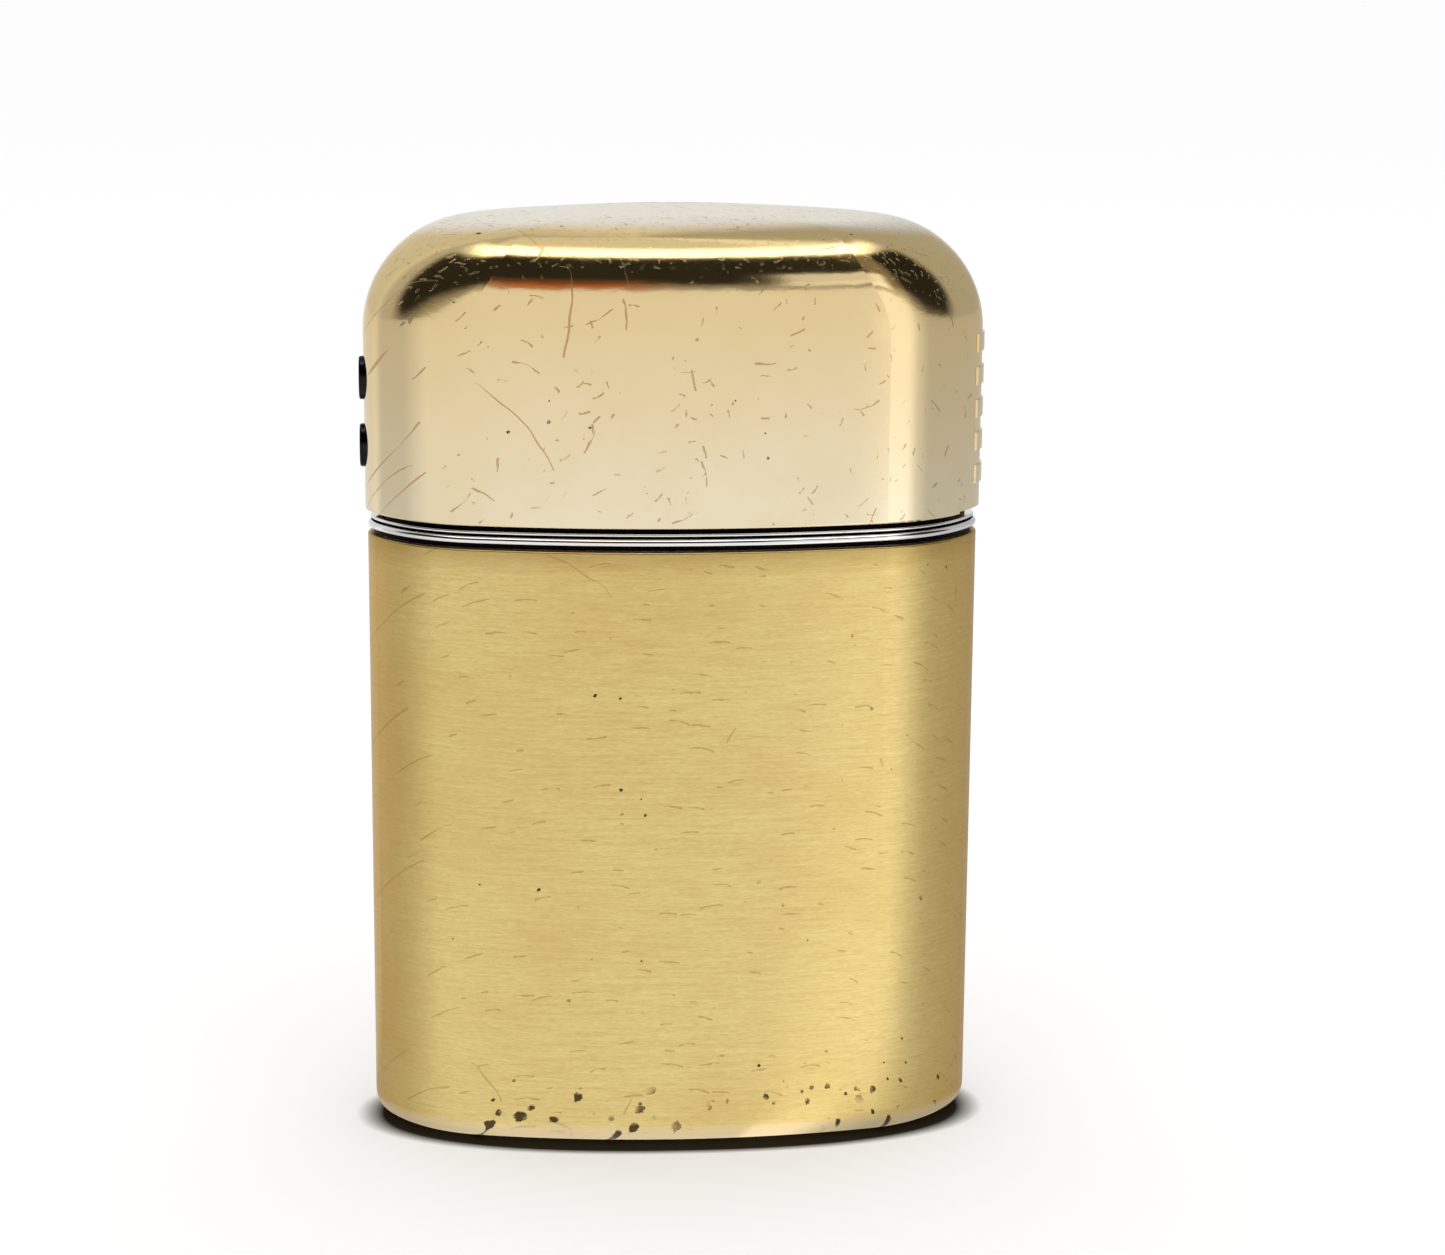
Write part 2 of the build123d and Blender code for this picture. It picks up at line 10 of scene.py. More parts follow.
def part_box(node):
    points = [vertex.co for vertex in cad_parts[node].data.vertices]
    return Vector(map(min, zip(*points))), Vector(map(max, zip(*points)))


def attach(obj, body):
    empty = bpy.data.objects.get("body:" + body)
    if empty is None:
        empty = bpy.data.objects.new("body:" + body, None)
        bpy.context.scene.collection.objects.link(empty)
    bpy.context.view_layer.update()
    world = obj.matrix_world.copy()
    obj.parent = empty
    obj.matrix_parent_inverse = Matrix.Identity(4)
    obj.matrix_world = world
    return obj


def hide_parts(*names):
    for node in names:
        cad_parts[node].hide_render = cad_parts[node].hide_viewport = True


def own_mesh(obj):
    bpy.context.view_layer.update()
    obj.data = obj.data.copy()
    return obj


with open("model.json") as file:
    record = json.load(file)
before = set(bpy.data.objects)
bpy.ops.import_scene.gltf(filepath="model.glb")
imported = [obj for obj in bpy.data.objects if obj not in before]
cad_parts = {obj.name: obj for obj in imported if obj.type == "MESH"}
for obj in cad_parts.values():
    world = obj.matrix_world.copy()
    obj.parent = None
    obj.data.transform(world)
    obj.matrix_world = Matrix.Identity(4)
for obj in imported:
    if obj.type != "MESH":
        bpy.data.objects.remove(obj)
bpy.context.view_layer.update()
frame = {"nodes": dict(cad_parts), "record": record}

MM = 0.001
NODES = frame["nodes"]
seam_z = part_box("lid_shell")[0][2]
jacket_top_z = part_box("jacket_sleeve")[1][2]
half_width, half_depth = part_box("jacket_sleeve")[1][:2]
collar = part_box("collar_ring")
wick_tip_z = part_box("wick")[1][2]

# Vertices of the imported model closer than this, in metres, are one. Soft pieces are reskinned
# with cells of the second size, in mm.
MERGE_DISTANCE = 1e-6
SKIN_CELL = 0.3

# The contact shade on the floor: its reach and its lead towards the front in mm, and the power
# of the base's oval.
SHADE_REACH = 0.6
SHADE_LEAD = 0.4
PLAN_POWER = 2.25

# The studio as metal sees it. A direction's height runs from -1, straight down, to 1; its bearing
# is in degrees, 0 at the front. Four numbers are where a region begins, is full, ends and is gone.
BACKDROP = 0.93
ROOM_HEIGHTS = (-0.1, 0.16, 0.74, 0.80)
STRIP_HEIGHTS = (0.76, 0.80, 0.88, 0.93)
STRIP_HALF = (0.42, 0.6)
WINDOW_BEARINGS = (15, 18, 40, 46)
WINDOW_HEIGHTS = (0.04, 0.08, 0.34, 0.4)
WOOD_BEARINGS = (-26, -20, -4, 2)
WOOD_HEIGHTS = (-0.04, 0.04, 0.16, 0.26)
# Brighter and darker sides: which side, the bearings, and the change in brightness.
SIDES = (
    (1, (30, 34, 48, 56), 0.35),
    (1, (52, 66, 150, 175), -0.38),
    (-1, (60, 80, 105, 112), -0.3),
    (-1, (112, 116, 150, 175), -0.1),
)


# ---------------------------------------------------------------- colour and node helpers
def colour(code):
    """An sRGB hex code as linear red, green, blue and alpha."""
    channels = [int(code[i : i + 2], 16) / 255 for i in (1, 3, 5)]
    linear = [c / 12.92 if c <= 0.04045 else ((c + 0.055) / 1.055) ** 2.4 for c in channels]
    return (*linear, 1.0)


def add(tree, kind, inputs=None, **settings):
    """Adds a node of one kind, with its settings, its input values and its links."""
    made = tree.nodes.new(kind)
    for name, value in settings.items():
        setattr(made, name, value)
    for name, value in (inputs or {}).items():
        if isinstance(value, bpy.types.NodeSocket):
            tree.links.new(value, made.inputs[name])
        else:
            made.inputs[name].default_value = value
    return made


def start(name):
    """A new node material, with its tree, shader and object coordinates."""
    material = bpy.data.materials.new(name)
    material.use_nodes = True
    tree = material.node_tree
    shader = tree.nodes["Principled BSDF"]
    place = add(tree, "ShaderNodeTexCoord").outputs["Object"]
    return material, tree, shader, place


def grained(tree, place, size, turn=(0, 0, 0)):
    """Coordinates in which one unit is a pattern's size, given in millimetres along each axis."""
    scale = tuple(1 / (MM * s) for s in size)
    return add(
        tree, "ShaderNodeMapping", {"Vector": place, "Rotation": turn, "Scale": scale}
    ).outputs["Vector"]


def noise(tree, vector, detail=2.0, roughness=0.5):
    """Noise from 0 to 1."""
    return add(
        tree,
        "ShaderNodeTexNoise",
        {"Vector": vector, "Scale": 1.0, "Detail": detail, "Roughness": roughness},
    ).outputs["Fac"]


def maths(tree, operation, *values):
    """A maths node's result."""
    return add(
        tree, "ShaderNodeMath", dict(enumerate(values)), operation=operation
    ).outputs["Value"]


def ramp(tree, value, low, high, to_low=0.0, to_high=1.0):
    """Maps a value's span onto another, clamped."""
    inputs = {
        "Value": value,
        "From Min": low,
        "From Max": high,
        "To Min": to_low,
        "To Max": to_high,
    }
    return add(tree, "ShaderNodeMapRange", inputs).outputs["Result"]


def band(tree, value, low, full, end, gone):
    """1 between two values, fading to 0 on each side."""
    return maths(
        tree, "MULTIPLY", ramp(tree, value, low, full), ramp(tree, value, end, gone, 1.0, 0.0)
    )


def mix(tree, factor, a, b):
    """Mixes two colours."""
    inputs = {"Factor": factor, 6: a, 7: b}
    return add(tree, "ShaderNodeMix", inputs, data_type="RGBA").outputs[2]


def bump(tree, height, depth, strength=1.0, normal=None):
    """A bump whose full height is given in millimetres."""
    inputs = {"Height": height, "Distance": depth * MM, "Strength": strength}
    if normal is not None:
        inputs["Normal"] = normal
    return add(tree, "ShaderNodeBump", inputs).outputs["Normal"]


def link(tree, shader, **sockets):
    """Links sockets to the shader's inputs, with underscores for spaces."""
    for name, socket in sockets.items():
        tree.links.new(socket, shader.inputs[name.replace("_", " ")])


def unrolled(tree, place):
    """Flat coordinates that run over faces, ends and top without a break, for drawn marks."""
    axes = add(tree, "ShaderNodeSeparateXYZ", {"Vector": place}).outputs
    across = maths(tree, "MULTIPLY_ADD", axes["Y"], 0.7, axes["X"])
    up = maths(tree, "ADD", axes["Z"], axes["Y"])
    return add(tree, "ShaderNodeCombineXYZ", {"X": across, "Y": up}).outputs["Vector"]


def cells(tree, vector):
    """Random flat cells: their distance, centre and three random numbers from 0 to 1."""
    made = add(
        tree, "ShaderNodeTexVoronoi", {"Vector": vector, "Scale": 1.0}, voronoi_dimensions="2D"
    ).outputs
    chance = add(tree, "ShaderNodeSeparateColor", {"Color": made["Color"]}).outputs
    return made["Distance"], made["Position"], chance


def patches(tree, sheet, size, share):
    """Soft-edged patches of one size in mm that cover about a share of the surface."""
    cloud = noise(tree, grained(tree, sheet, (size,) * 3), 2.0)
    return ramp(tree, cloud, 0.58 - 0.3 * share, 0.64 - 0.3 * share)


def pits(tree, sheet, spacing, radius, share):
    """Ragged pits of up to one radius in a share of the cells of one spacing, both in mm."""
    distance, _, chance = cells(tree, grained(tree, sheet, (spacing,) * 3))
    ragged = noise(tree, grained(tree, sheet, (0.8 * radius,) * 3), 2.0, 0.6)
    distance = maths(tree, "MULTIPLY_ADD", ragged, 1.1 * radius / spacing, distance)
    reach = ramp(tree, chance["Green"], 0.0, 1.0, 0.75 * radius / spacing, 1.5 * radius / spacing)
    inside = ramp(tree, maths(tree, "SUBTRACT", reach, distance), 0.0, 0.2 * radius / spacing)
    return maths(tree, "MULTIPLY", inside, maths(tree, "LESS_THAN", chance["Red"], share))


def scratches(tree, sheet, spacing, width, length, share, lean=(0.0, 3.1)):
    """Slightly bowed, broken scratches: one in a share of the cells, at an angle in radians."""
    vector = grained(tree, sheet, (spacing,) * 3)
    _, centre, chance = cells(tree, vector)
    local = add(
        tree, "ShaderNodeVectorMath", {0: vector, 1: centre}, operation="SUBTRACT"
    ).outputs["Vector"]
    angle = ramp(tree, chance["Red"], 0.0, 1.0, *lean)
    turned = add(
        tree, "ShaderNodeVectorRotate", {"Vector": local, "Angle": angle}, rotation_type="Z_AXIS"
    ).outputs["Vector"]
    axes = add(tree, "ShaderNodeSeparateXYZ", {"Vector": turned}).outputs
    bow = maths(tree, "MULTIPLY", axes["X"], axes["X"])
    bent = maths(tree, "MULTIPLY_ADD", bow, 0.3, axes["Y"])
    wander = noise(tree, grained(tree, sheet, (0.4 * length,) * 3), 1.0)
    bent = maths(tree, "MULTIPLY_ADD", wander, 0.12 * length / spacing, bent)
    bent = maths(tree, "SUBTRACT", bent, 0.06 * length / spacing)
    broad = ramp(tree, wander, 0.35, 0.65, 0.1 * width / spacing, 0.8 * width / spacing)
    thin = maths(tree, "LESS_THAN", maths(tree, "ABSOLUTE", bent), broad)
    reach = maths(tree, "MULTIPLY", chance["Green"], 0.5 * length / spacing)
    short = maths(tree, "LESS_THAN", maths(tree, "ABSOLUTE", axes["X"]), reach)
    there = maths(tree, "LESS_THAN", chance["Blue"], share)
    return maths(tree, "MULTIPLY", there, maths(tree, "MULTIPLY", thin, short))


# ---------------------------------------------------------------- metals
def brushed_brass():
    """Brass sheet, drawn and brushed along its width: fine level lines, nicks and dents."""
    material, tree, shader, place = start("brushed_brass")
    shader.inputs["Metallic"].default_value = 1.0
    axes = add(tree, "ShaderNodeSeparateXYZ", {"Vector": place}).outputs
    height = axes["Z"]
    sheet = unrolled(tree, place)
    lines = noise(tree, grained(tree, place, (3, 3, 0.14)), 3.0, 0.7)
    fine = noise(tree, grained(tree, place, (0.5, 0.5, 0.06)), 3.0, 0.8)
    patina = noise(tree, grained(tree, place, (11, 11, 7)), 3.0, 0.55)
    grain = maths(tree, "MULTIPLY_ADD", lines, 0.4, maths(tree, "MULTIPLY", fine, 0.6))
    tone = mix(tree, ramp(tree, grain, 0.34, 0.66), colour("#dfc37a"), colour("#f6df9a"))
    tone = mix(tree, ramp(tree, patina, 0.45, 0.8, 0.0, 0.4), tone, colour("#d8b464"))
    # Painted shade: the body's rounded ends drawn darker, as they look where they turn from the
    # light.
    ends = ramp(tree, maths(tree, "ABSOLUTE", axes["X"]), 0.78 * half_width, half_width)
    tone = mix(tree, maths(tree, "MULTIPLY", ends, 0.65), tone, colour("#bd9040"))

    nicks = scratches(tree, sheet, 1.7, 0.08, 1.5, 0.45, (-0.25, 0.25))
    strays = scratches(tree, sheet, 6.0, 0.07, 5.0, 0.2, (0.2, 2.9))
    scars = maths(tree, "MAXIMUM", nicks, strays)
    tone = mix(tree, maths(tree, "MULTIPLY", scars, 0.4), tone, colour("#a47b34"))
    # Painted highlight: a pale band over the lowest 1.5 mm, where the base's rounding shows the
    # bright floor.
    painted_base_highlight = maths(tree, "MULTIPLY", ramp(tree, height, 1.0 * MM, 1.5 * MM, 1.0, 0.0), 0.6)
    tone = mix(tree, painted_base_highlight, tone, colour("#fbe3bc"))
    specks = pits(tree, sheet, 1.5, 0.16, 0.3)
    specks = maths(tree, "MULTIPLY", specks, patches(tree, sheet, 6, 0.1))
    dents = pits(tree, sheet, 1.15, 0.42, 0.5)
    dents = maths(tree, "MULTIPLY", dents, patches(tree, sheet, 3.5, 0.35))
    dents = maths(tree, "MULTIPLY", dents, ramp(tree, height, 3.4 * MM, 4.2 * MM, 1.0, 0.0))
    dents = maths(tree, "MAXIMUM", dents, specks)
    # Darker and browner over the jacket's top 1.6 mm, just under the seam.
    mouth = ramp(tree, height, jacket_top_z - 1.6 * MM, jacket_top_z, 0.0, 0.45)
    tone = mix(tree, mouth, tone, colour("#9c7934"))
    tone = mix(tree, maths(tree, "MULTIPLY", dents, 0.92), tone, colour("#34230e"))
    hollow = maths(tree, "MAXIMUM", dents, maths(tree, "MULTIPLY", scars, 0.3))
    link(
        tree,
        shader,
        Base_Color=tone,
        Roughness=ramp(tree, grain, 0.3, 0.7, 0.42, 0.3),
        Normal=bump(tree, grain, 0.006, 0.5, bump(tree, hollow, -0.08)),
    )
    return material


def polished_brass():
    """Buffed brass: bright, with hairlines, stray scratches, pits and a scuffed top, and painted
    light on its top, edges, ends and lower part.
    """
    material, tree, shader, place = start("polished_brass")
    shader.inputs["Metallic"].default_value = 1.0
    axes = add(tree, "ShaderNodeSeparateXYZ", {"Vector": place}).outputs
    height = axes["Z"]
    facing = add(tree, "ShaderNodeTexCoord").outputs["Normal"]
    upward = add(tree, "ShaderNodeSeparateXYZ", {"Vector": facing}).outputs["Z"]
    sheet = unrolled(tree, place)
    haze = noise(tree, grained(tree, place, (7, 7, 7)), 4.0, 0.6)
    peel = noise(tree, grained(tree, place, (0.7, 0.7, 0.35)), 3.0, 0.6)
    hairs = noise(tree, grained(tree, place, (6, 6, 0.1), (0, 0.35, 0)), 2.0)
    cross = noise(tree, grained(tree, place, (0.12, 5, 6), (0, 0.3, 0)), 2.0)
    ends = ramp(tree, maths(tree, "ABSOLUTE", axes["X"]), 0.55 * half_width, 0.75 * half_width)
    corner = maths(tree, "MULTIPLY", ends, ramp(tree, upward, 0.15, 0.35))
    # Masks by which way the surface faces: the top and the rounded edges. They tint the lid with
    # painted light below and also mark where it wears.
    crown = ramp(tree, upward, 0.8, 0.92)
    shoulder = ramp(tree, upward, 0.3, 0.45)

    ticks = scratches(tree, sheet, 0.9, 0.09, 0.8, 0.4)
    ticks = maths(tree, "MULTIPLY", ticks, patches(tree, sheet, 3, 0.3))
    short = scratches(tree, sheet, 2.4, 0.08, 2.2, 0.4)
    long = scratches(tree, sheet, 8.0, 0.07, 8.5, 0.4, (0.6, 2.3))
    rub = scratches(tree, sheet, 0.55, 0.1, 0.6, 0.8)
    worn = maths(tree, "MAXIMUM", corner, maths(tree, "MULTIPLY", shoulder, 0.4))
    worn = maths(tree, "MAXIMUM", worn, maths(tree, "MULTIPLY", crown, 0.6))
    rub = maths(tree, "MULTIPLY", rub, worn)
    marks = maths(tree, "MAXIMUM", ticks, maths(tree, "MAXIMUM", short, long))
    specks = pits(tree, sheet, 2.2, 0.14, 0.25)
    specks = maths(tree, "MULTIPLY", specks, patches(tree, sheet, 6, 0.2))

    # Painted light: the lid drawn paler towards the seam and more golden higher up.
    rise = ramp(tree, height, seam_z, seam_z + 13 * MM)
    tone = mix(tree, rise, colour("#f0e4c6"), colour("#e8cf9c"))
    tone = mix(tree, ramp(tree, haze, 0.4, 0.75, 0.0, 0.35), tone, colour("#e4cc98"))
    # Painted shade: the lid's ends, below the rounded edges, drawn a little darker.
    side = maths(tree, "MULTIPLY", ends, maths(tree, "SUBTRACT", 1.0, shoulder))
    tone = mix(tree, maths(tree, "MULTIPLY", side, 0.15), tone, colour("#d8bd82"))
    # Painted reflection: the rounded edges drawn golden and the top drawn pale by which way they
    # face; the top is also truly worn, rougher and rubbed.
    tone = mix(tree, shoulder, tone, colour("#e6cd94"))
    tone = mix(tree, crown, tone, colour("#f4eddd"))
    tone = mix(tree, maths(tree, "MULTIPLY", marks, 0.55), tone, colour("#bd8a4c"))
    tone = mix(tree, maths(tree, "MULTIPLY", rub, 0.35), tone, colour("#d9c493"))
    tone = mix(tree, maths(tree, "MULTIPLY", specks, 0.9), tone, colour("#3a2812"))
    rough = ramp(tree, haze, 0.35, 0.75, 0.09, 0.15)
    rough = maths(tree, "MULTIPLY_ADD", crown, 0.16, rough)
    rough = maths(tree, "MULTIPLY_ADD", marks, 0.2, rough)
    rough = maths(tree, "MULTIPLY_ADD", rub, 0.3, rough)
    scars = maths(tree, "MAXIMUM", marks, rub)
    hollow = bump(tree, maths(tree, "MAXIMUM", specks, maths(tree, "MULTIPLY", scars, 0.25)), -0.05)
    wavy = bump(tree, peel, 0.008, 0.35, hollow)
    link(
        tree,
        shader,
        Base_Color=tone,
        Roughness=rough,
        Normal=bump(tree, maths(tree, "ADD", hairs, cross), 0.0015, 0.35, wavy),
    )
    return material


def bright_chrome(name, shaded_heights=()):
    """Chrome plate on drawn steel: a cool mirror, with painted shade at the heights given, drawn
    near black and rougher there.
    """
    material, tree, shader, place = start(name)
    shader.inputs["Metallic"].default_value = 1.0
    haze = noise(tree, grained(tree, place, (9, 9, 9)), 2.0, 0.5)
    hairs = noise(tree, grained(tree, place, (5, 5, 0.1)), 2.0)
    marks = scratches(tree, unrolled(tree, place), 3.0, 0.05, 2.4, 0.5)
    tone = mix(tree, ramp(tree, haze, 0.35, 0.7), colour("#f3f3f5"), colour("#e9e9ea"))
    tone = mix(tree, maths(tree, "MULTIPLY", marks, 0.4), tone, colour("#8d8b87"))
    rough = ramp(tree, haze, 0.3, 0.75, 0.08, 0.11)
    height = add(tree, "ShaderNodeSeparateXYZ", {"Vector": place}).outputs["Z"]
    # Painted shade: each band of heights drawn near black, and rougher, where the grooves stay
    # dark.
    for low, high in shaded_heights:
        above = maths(tree, "GREATER_THAN", height, low)
        painted_shade = maths(tree, "MULTIPLY", above, maths(tree, "LESS_THAN", height, high))
        tone = mix(tree, painted_shade, tone, colour("#0e0b10"))
        rough = maths(tree, "MULTIPLY_ADD", painted_shade, 0.4, rough)
    link(
        tree,
        shader,
        Base_Color=tone,
        Roughness=rough,
        Normal=bump(tree, hairs, 0.0015, 0.3, bump(tree, marks, -0.01, 0.5)),
    )
    return material


def plain_steel(name, light, dark, smooth, rough):
    """Rolled, blued or file-cut steel: a short grain that clouds between two greys."""
    material, tree, shader, place = start(name)
    shader.inputs["Metallic"].default_value = 1.0
    grain = noise(tree, grained(tree, place, (2.2, 0.15, 0.3)), 4.0, 0.6)
    cloud = noise(tree, grained(tree, place, (1.6, 1.6, 1.6)), 4.0, 0.6)
    tone = mix(tree, ramp(tree, cloud, 0.35, 0.7), colour(light), colour(dark))
    link(
        tree,
        shader,
        Base_Color=tone,
        Roughness=ramp(tree, grain, 0.3, 0.7, smooth, rough),
        Normal=bump(tree, grain, 0.004, 0.5),
    )
    return material


def turned_brass():
    """Turned brass: round tool marks and a dull warm tone."""
    material, tree, shader, place = start("turned_brass")
    shader.inputs["Metallic"].default_value = 1.0
    marks = noise(tree, grained(tree, place, (4, 4, 0.08)), 2.0)
    cloud = noise(tree, grained(tree, place, (2, 2, 2)), 4.0, 0.6)
    tone = mix(tree, ramp(tree, cloud, 0.35, 0.7), colour("#d8bb74"), colour("#b08d48"))
    link(
        tree,
        shader,
        Base_Color=tone,
        Roughness=ramp(tree, cloud, 0.3, 0.7, 0.22, 0.38),
        Normal=bump(tree, marks, 0.004, 0.5),
    )
    return material


# ---------------------------------------------------------------- cloth, felt and flint
def fibres(name, light, dark, size, depth, charred=False):
    """Cotton or wool fibres of one size in millimetres, charred at the wick's tip where asked."""
    material, tree, shader, place = start(name)
    strands = noise(tree, grained(tree, place, (size, size, size * 2.5)), 6.0, 0.7)
    clumps = noise(tree, grained(tree, place, (size * 9,) * 3), 3.0)
    tone = mix(tree, ramp(tree, strands, 0.3, 0.7), colour(dark), colour(light))
    tone = mix(tree, ramp(tree, clumps, 0.4, 0.75, 0.0, 0.35), tone, colour(dark))
    if charred:
        height = add(tree, "ShaderNodeSeparateXYZ", {"Vector": place}).outputs["Z"]
        ragged = maths(tree, "MULTIPLY_ADD", clumps, 1.2 * MM, height)
        burnt = ramp(tree, ragged, wick_tip_z - 2.0 * MM, wick_tip_z - 0.8 * MM)
        tone = mix(tree, burnt, tone, colour("#231e1a"))
    shader.inputs["Roughness"].default_value = 0.95
    shader.inputs["Sheen Weight"].default_value = 0.3
    link(tree, shader, Base_Color=tone, Normal=bump(tree, strands, depth))
    return material


def sintered_flint():
    """Pressed ferrocerium: dark, granular and worn."""
    material, tree, shader, place = start("sintered_flint")
    shader.inputs["Metallic"].default_value = 0.6
    grit = noise(tree, grained(tree, place, (0.12, 0.12, 0.12)), 4.0, 0.7)
    tone = mix(tree, ramp(tree, grit, 0.3, 0.7), colour("#3a3836"), colour("#6a6661"))
    link(
        tree,
        shader,
        Base_Color=tone,
        Roughness=ramp(tree, grit, 0.3, 0.7, 0.5, 0.8),
        Normal=bump(tree, grit, 0.03),
    )
    return material


# ---------------------------------------------------------------- studio
def bearing_of(tree, axes):
    """A direction's bearing in degrees: 0 at the front, rising to the right."""
    bearing = maths(tree, "ARCTAN2", axes["X"], maths(tree, "MULTIPLY", axes["Y"], -1.0))
    return maths(tree, "MULTIPLY", bearing, degrees(1))


def around(tree, axes):
    """Brightness of the studio by bearing, as metal sees it."""
    bearing = bearing_of(tree, axes)
    level = BACKDROP
    for side, bearings, change in SIDES:
        region = band(tree, maths(tree, "MULTIPLY", bearing, side), *bearings)
        level = maths(tree, "MULTIPLY_ADD", region, change, level)
    return level


def studio_floor():
    """White sweep that keeps the object's shadow, with a dark contact shade painted on it."""
    bpy.ops.object.select_all(action="DESELECT")
    bpy.ops.mesh.primitive_plane_add(size=8.0)
    floor = bpy.context.active_object
    floor.name = "floor"
    material, tree, shader, place = start("white_sweep")
    shader.inputs["Roughness"].default_value = 0.9
    shader.inputs["Specular IOR Level"].default_value = 0.0
    rays = add(tree, "ShaderNodeLightPath").outputs
    axes = add(tree, "ShaderNodeSeparateXYZ", {"Vector": place}).outputs
    plain = add(tree, "ShaderNodeEmission", {"Color": colour("#fdfdfd"), "Strength": 1.0})
    mirrored = add(
        tree, "ShaderNodeEmission", {"Color": colour("#ffffff"), "Strength": around(tree, axes)}
    )
    oval = []
    ahead = maths(tree, "ADD", axes["Y"], SHADE_LEAD * MM)
    for distance, half in ((axes["X"], half_width), (ahead, half_depth)):
        part_way = maths(tree, "DIVIDE", distance, half + SHADE_REACH * MM)
        oval.append(maths(tree, "POWER", maths(tree, "ABSOLUTE", part_way), PLAN_POWER))
    under = ramp(tree, maths(tree, "ADD", *oval), 0.88, 1.08, 1.0, 0.0)
    paint = mix(tree, under, colour("#fcfcfc"), colour("#2a251b"))
    tree.links.new(paint, shader.inputs["Base Color"])
    seen = maths(tree, "MULTIPLY", rays["Is Camera Ray"], ramp(tree, under, 0.0, 0.5, 0.12, 0.0))
    share = maths(tree, "MULTIPLY", rays["Is Glossy Ray"], 0.9)
    surface = shader.outputs[0]
    for factor, light in ((seen, plain), (share, mirrored)):
        inputs = {0: factor, 1: surface, 2: light.outputs[0]}
        surface = add(tree, "ShaderNodeMixShader", inputs).outputs[0]
    tree.links.new(surface, tree.nodes["Material Output"].inputs["Surface"])
    floor.data.materials.append(material)


def studio_world():
    """Even white surroundings; metal also sees a strip lamp, a window and wood in a dark room."""
    world = bpy.data.worlds.new("studio")
    bpy.context.scene.world = world
    world.use_nodes = True
    tree = world.node_tree
    tree.nodes.clear()
    way = add(tree, "ShaderNodeTexCoord").outputs["Generated"]
    axes = add(tree, "ShaderNodeSeparateXYZ", {"Vector": way}).outputs
    rays = add(tree, "ShaderNodeLightPath").outputs
    front = ramp(tree, axes["Y"], -0.1, 0.1, 1.0, 0.0)
    room = maths(tree, "MULTIPLY", front, band(tree, axes["Z"], *ROOM_HEIGHTS))
    wide = ramp(tree, maths(tree, "ABSOLUTE", axes["X"]), *STRIP_HALF, 1.0, 0.0)
    strip = maths(tree, "MULTIPLY", band(tree, axes["Z"], *STRIP_HEIGHTS), wide)
    strip = maths(tree, "MULTIPLY", strip, front)
    bearing = bearing_of(tree, axes)
    window = maths(
        tree,
        "MULTIPLY",
        band(tree, bearing, *WINDOW_BEARINGS),
        band(tree, axes["Z"], *WINDOW_HEIGHTS),
    )
    room = maths(tree, "SUBTRACT", room, window)
    wood = maths(
        tree, "MULTIPLY", band(tree, bearing, *WOOD_BEARINGS), band(tree, axes["Z"], *WOOD_HEIGHTS)
    )
    lit = mix(tree, room, colour("#ffffff"), colour("#efe0bf"))
    lit = mix(tree, wood, lit, colour("#ff9c5c"))
    open_level = maths(tree, "MULTIPLY", around(tree, axes), 0.9)
    level = maths(tree, "MULTIPLY_ADD", room, -0.84, open_level)
    level = maths(tree, "MAXIMUM", level, 0.025)
    level = maths(tree, "MULTIPLY_ADD", strip, 2.0, level)
    level = maths(tree, "MULTIPLY_ADD", wood, 0.14, level)
    plain = add(tree, "ShaderNodeBackground", {"Color": colour("#ffffff"), "Strength": 1.0})
    mirrored = add(tree, "ShaderNodeBackground", {"Color": lit, "Strength": level})
    blend = add(
        tree,
        "ShaderNodeMixShader",
        {0: rays["Is Glossy Ray"], 1: plain.outputs[0], 2: mirrored.outputs[0]},
    )
    output = add(tree, "ShaderNodeOutputWorld")
    tree.links.new(blend.outputs[0], output.inputs["Surface"])


def camera():
    """Long lens, a little above and to the left, looking slightly down."""
    position = Vector((-11.48, -214.5, 81.23)) * MM
    pitch, yaw, roll = 0.226, 0.068, 0.008  # radians
    ahead = Vector((sin(yaw) * cos(pitch), cos(yaw) * cos(pitch), -sin(pitch)))
    right = Vector((cos(yaw), -sin(yaw), 0))
    up = right.cross(ahead)
    tilted_right = cos(roll) * right + sin(roll) * up
    tilted_up = cos(roll) * up - sin(roll) * right
    data = bpy.data.cameras.new("camera")
    data.sensor_width = 36.0
    data.lens = 87.26  # mm, on that sensor
    data.clip_start = 0.01
    made = bpy.data.objects.new("camera", data)
    bpy.context.scene.collection.objects.link(made)
    turn = Matrix((tilted_right, tilted_up, -ahead)).transposed().to_4x4()
    made.matrix_world = Matrix.Translation(position) @ turn
    bpy.context.scene.camera = made


def lamp(name, place, size, power, target=(0, 0, 0.03)):
    """A square softbox aimed at the lighter, its power in watts."""
    data = bpy.data.lights.new(name, "AREA")
    data.size = size
    data.energy = power
    made = bpy.data.objects.new(name, data)
    bpy.context.scene.collection.objects.link(made)
    made.location = place
    made.rotation_euler = (Vector(place) - Vector(target)).to_track_quat("Z", "Y").to_euler()
    made.visible_glossy = False


# ---------------------------------------------------------------- soft pieces
def only(piece):
    """Makes one piece the only one selected, and active."""
    bpy.ops.object.select_all(action="DESELECT")
    piece.select_set(True)
    bpy.context.view_layer.objects.active = piece


def shaped(piece, kind, **settings):
    """Adds a modifier with its settings and applies it."""
    only(piece)
    made = piece.modifiers.new(kind.lower(), kind)
    for name, value in settings.items():
        setattr(made, name, value)
    bpy.ops.object.modifier_apply(modifier=made.name)


def clouds(name, size):
    """A cloudy height pattern for soft surfaces, its size in mm."""
    made = bpy.data.textures.new(name, "CLOUDS")
    made.noise_scale = size * MM
    made.noise_depth = 3
    return made


